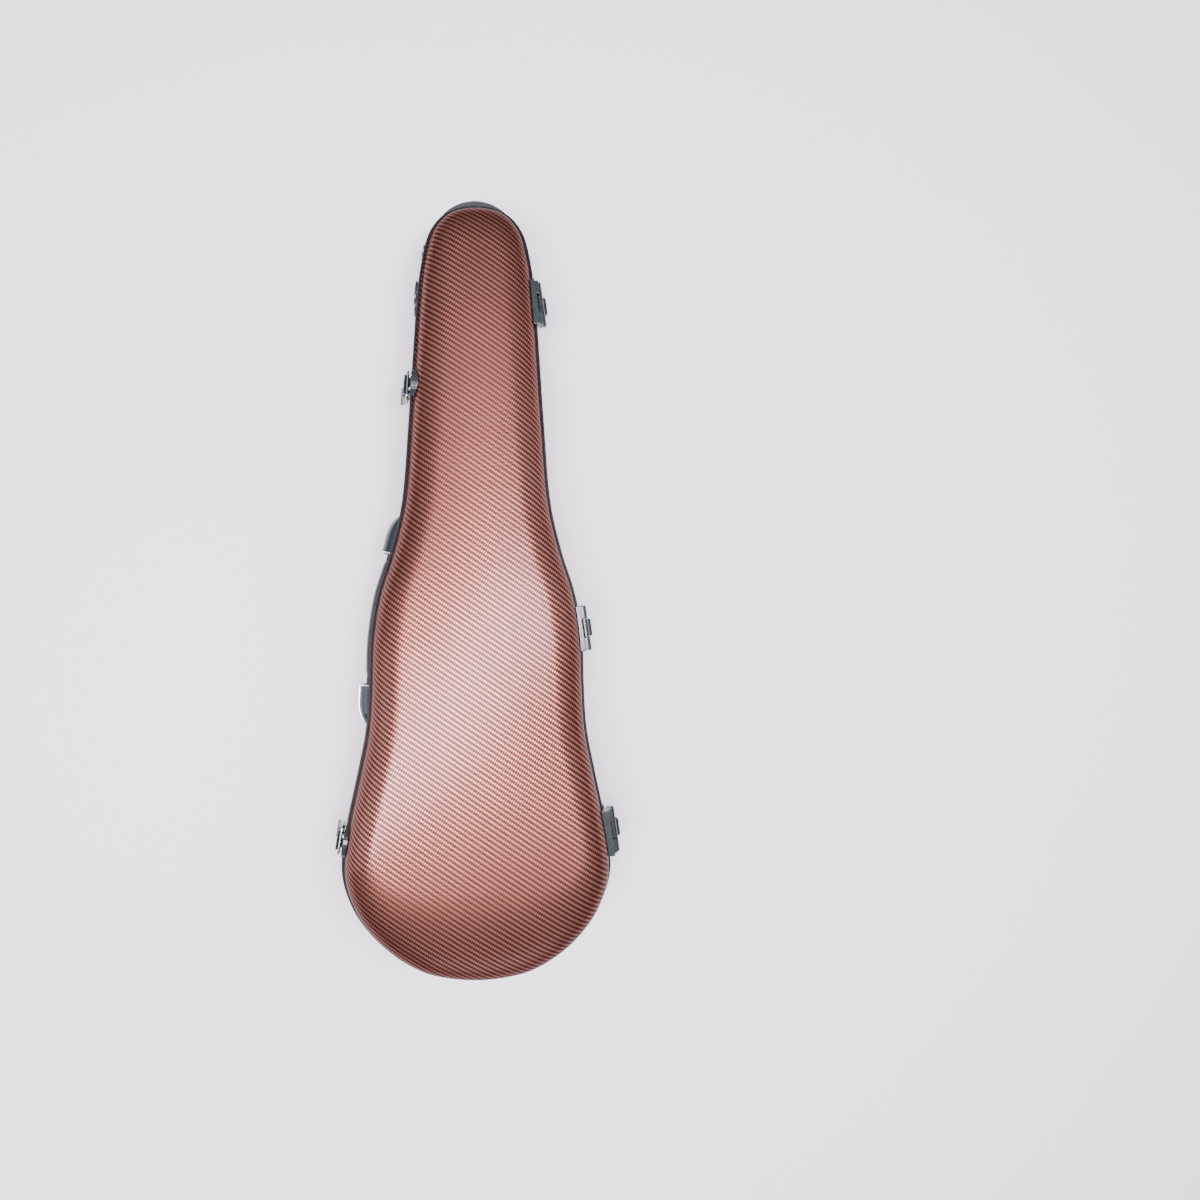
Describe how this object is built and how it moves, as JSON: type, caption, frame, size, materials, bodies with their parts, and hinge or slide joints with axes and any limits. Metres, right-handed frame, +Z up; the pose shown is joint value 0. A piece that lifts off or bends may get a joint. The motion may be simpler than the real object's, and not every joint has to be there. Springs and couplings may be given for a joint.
{
  "type": "violin case",
  "caption": "Shaped hard violin case with hinged lid, draw latches, side handle, end handle, strap rings and a fitted lining.",
  "frame": {"origin": "middle of the bounding box's underside: the surface that the case lies on, on its back", "axes": "+Z up out of the lid, +Y towards the neck end, -X the side of the handle and latches, +X the side of the hinges"},
  "size_m": [0.3018, 0.8266, 0.1452],
  "materials": {
    "shell": "glossy clear-coated carbon twill, pearl rose copper to red orange",
    "rim_band": "satin black",
    "velvet": "black velvet over foam",
    "webbing": "black woven webbing",
    "foot_rubber": "moulded black rubber",
    "grip_leather": "padded black leather",
    "cap_gloss": "polished black",
    "bright_steel": "polished dark nickel",
    "bow_plastic": "black moulded",
    "black_metal": "gloss black enamel"
  },
  "bodies": {
    "base": {"base_shell": "shell", "base_rim": "rim_band", "base_lining": "velvet", "neck_cradle": "velvet", "neck_strap": "webbing", "neck_foot": "foot_rubber", "end_foot": "foot_rubber", "end_handle_strap": "webbing", "end_plate_handle_side": "black_metal", "end_plate_hinge_side": "black_metal", "hinge_lower_base_leaf": "black_metal", "hinge_middle_base_leaf": "black_metal", "hinge_upper_base_leaf": "black_metal", "hinge_lower_pin": "bright_steel", "hinge_middle_pin": "bright_steel", "hinge_upper_pin": "bright_steel", "side_foot_lower": "foot_rubber", "side_foot_middle": "foot_rubber", "side_foot_upper": "foot_rubber", "latch_lower_plate": "black_metal", "latch_upper_plate": "black_metal", "latch_lower_pin": "bright_steel", "latch_upper_pin": "bright_steel", "handle_cap_lower": "cap_gloss", "handle_cap_upper": "cap_gloss", "handle_tongue_lower": "grip_leather", "handle_tongue_upper": "grip_leather", "anchor_side_plate": "black_metal", "anchor_back_plate": "black_metal", "anchor_corner_hinge_side_plate": "black_metal", "anchor_corner_handle_side_plate": "black_metal"},
    "lid": {"lid_shell": "shell", "lid_rim": "rim_band", "lid_lining": "velvet", "hinge_lower_lid_leaf": "black_metal", "hinge_middle_lid_leaf": "black_metal", "hinge_upper_lid_leaf": "black_metal", "latch_lower_keeper": "black_metal", "latch_upper_keeper": "black_metal", "bow_mount_handle_side": "bow_plastic", "bow_mount_hinge_side": "bow_plastic", "bow_tip_loop_handle_side": "webbing", "bow_tip_loop_hinge_side": "webbing"},
    "grip": {"handle_grip": "grip_leather"},
    "lower_lever": {"latch_lower_lever": "black_metal"},
    "lower_trunnion": {"latch_lower_trunnion": "bright_steel"},
    "lower_bail": {"latch_lower_bail": "bright_steel"},
    "upper_lever": {"latch_upper_lever": "black_metal"},
    "upper_trunnion": {"latch_upper_trunnion": "bright_steel"},
    "upper_bail": {"latch_upper_bail": "bright_steel"},
    "side_ring": {"anchor_side_ring": "black_metal"},
    "back_ring": {"anchor_back_ring": "black_metal"},
    "corner_hinge_side_ring": {"anchor_corner_hinge_side_ring": "black_metal"},
    "corner_handle_side_ring": {"anchor_corner_handle_side_ring": "black_metal"},
    "bow_spinner_handle_side": {"bow_spinner_handle_side": "bow_plastic"},
    "bow_spinner_hinge_side": {"bow_spinner_hinge_side": "bow_plastic"}
  },
  "joints": [
    {"name": "lid_hinge", "type": "hinge", "parent": "base", "child": "lid", "pos_m": [0.11349, -0.0421, 0.08797], "axis": [-0.1352, 0.9905, -0.0242], "range_deg": [0, 105]},
    {"name": "lower_lever_turn", "type": "hinge", "parent": "base", "child": "lower_lever", "pos_m": [-0.14289, -0.25914, 0.08227], "axis": [0.1573, 0.9873, -0.0241], "range_deg": [0, 90]},
    {"name": "lower_trunnion_turn", "type": "hinge", "parent": "lower_lever", "child": "lower_trunnion", "pos_m": [-0.1418, -0.25951, 0.07428], "axis": [0.1573, 0.9873, -0.0241], "range_deg": [-67, 0]},
    {"name": "lower_bail_swing", "type": "hinge", "parent": "lower_trunnion", "child": "lower_bail", "pos_m": [-0.1418, -0.25951, 0.07428], "axis": [-0.1573, -0.9873, 0.0241], "range_deg": [0, 110]},
    {"name": "upper_lever_turn", "type": "hinge", "parent": "base", "child": "upper_lever", "pos_m": [-0.07449, 0.211, 0.07078], "axis": [0.0605, 0.9979, -0.0244], "range_deg": [0, 90]},
    {"name": "upper_trunnion_turn", "type": "hinge", "parent": "upper_lever", "child": "upper_trunnion", "pos_m": [-0.07339, 0.21074, 0.06278], "axis": [0.0605, 0.9979, -0.0244], "range_deg": [-67, 0]},
    {"name": "upper_bail_swing", "type": "hinge", "parent": "upper_trunnion", "child": "upper_bail", "pos_m": [-0.07339, 0.21074, 0.06278], "axis": [-0.0605, -0.9979, 0.0244], "range_deg": [0, 110]},
    {"name": "handle_lift", "type": "slide", "parent": "base", "child": "grip", "axis": [-0.9891, 0.147, -0.0036], "range_m": [0, 0.015], "stiffness_N_per_m": 200},
    {"name": "side_ring_swing", "type": "hinge", "parent": "base", "child": "side_ring", "pos_m": [-0.06275, 0.31428, 0.05825], "axis": [0, -0.0244, -0.9997], "range_deg": [0, 150]},
    {"name": "back_ring_swing", "type": "hinge", "parent": "base", "child": "back_ring", "pos_m": [-0.00085, 0.13476, 0.00631], "axis": [1, 0, 0], "range_deg": [0, 150]},
    {"name": "corner_hinge_side_ring_swing", "type": "hinge", "parent": "base", "child": "corner_hinge_side_ring", "pos_m": [0.11063, -0.29575, 0.00799], "axis": [-0.9436, -0.0081, -0.3309], "range_deg": [0, 150]},
    {"name": "corner_handle_side_ring_swing", "type": "hinge", "parent": "base", "child": "corner_handle_side_ring", "pos_m": [-0.11233, -0.29575, 0.00799], "axis": [-0.9436, 0.0081, 0.3309], "range_deg": [0, 150]},
    {"name": "bow_spinner_handle_side_turn", "type": "hinge", "parent": "lid", "child": "bow_spinner_handle_side", "pos_m": [-0.04485, -0.22546, 0.11646], "axis": [0, 0.0244, 0.9997], "range_deg": [-90, 90]},
    {"name": "bow_spinner_hinge_side_turn", "type": "hinge", "parent": "lid", "child": "bow_spinner_hinge_side", "pos_m": [0.04315, -0.22546, 0.11646], "axis": [0, 0.0244, 0.9997], "range_deg": [-90, 90]}
  ],
  "couplings": [
    {"joint": "lower_trunnion_turn", "follows": "lower_lever_turn", "ratio": -0.74},
    {"joint": "upper_trunnion_turn", "follows": "upper_lever_turn", "ratio": -0.74}
  ]
}
